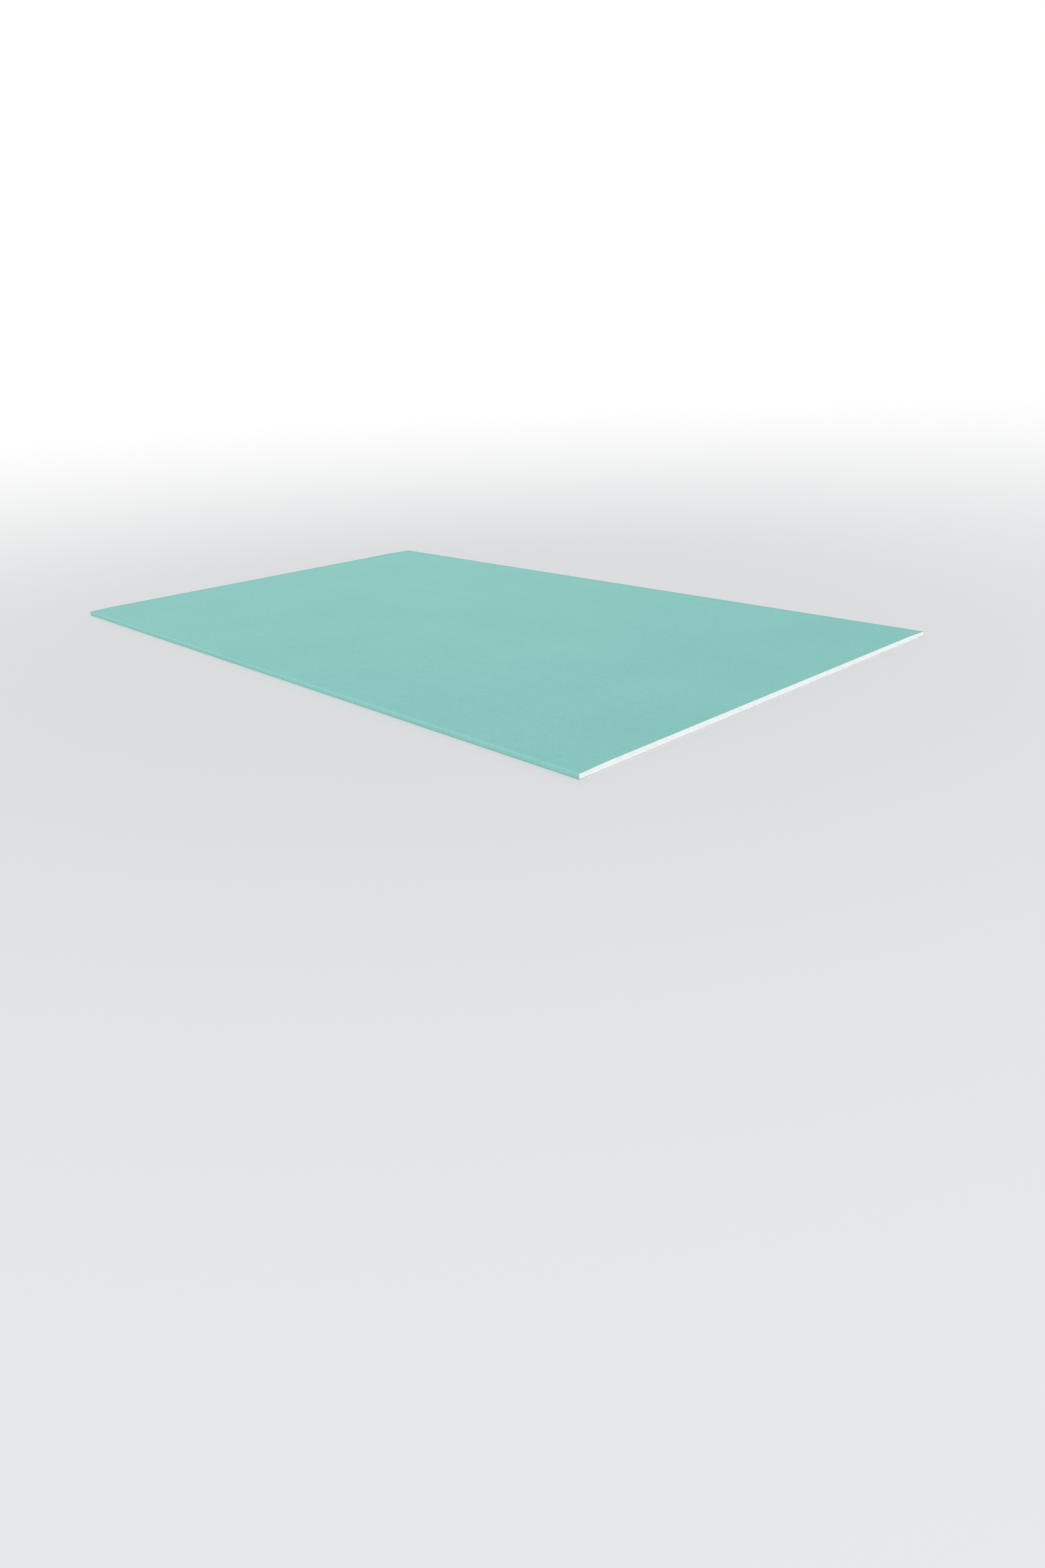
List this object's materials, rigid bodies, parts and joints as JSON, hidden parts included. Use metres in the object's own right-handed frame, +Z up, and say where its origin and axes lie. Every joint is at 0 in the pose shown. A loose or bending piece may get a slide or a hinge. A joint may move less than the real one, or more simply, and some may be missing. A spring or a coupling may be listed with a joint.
{
  "type": "drywall sheet",
  "caption": "Rectangular sheet of moisture-resistant gypsum board, paper faced, with tapered long edges and square cut ends.",
  "frame": {"origin": "under the middle of the sheet, on the plane that its back rests on", "axes": "+X along the sheet's length, +Y across its width, +Z up, from the back liner to the face"},
  "size_m": [2, 1.2, 0.0125],
  "materials": {
    "face_paper": "matt teal-green water-repellent face paper with a faint fibre grain, folded round both long sides",
    "gypsum_core": "off-white gypsum, finely pitted where the ends are sawn",
    "back_paper": "matt grey-cream recycled back liner"
  },
  "bodies": {
    "root": {"drywall_sheet": "face_paper"}
  },
  "joints": []
}
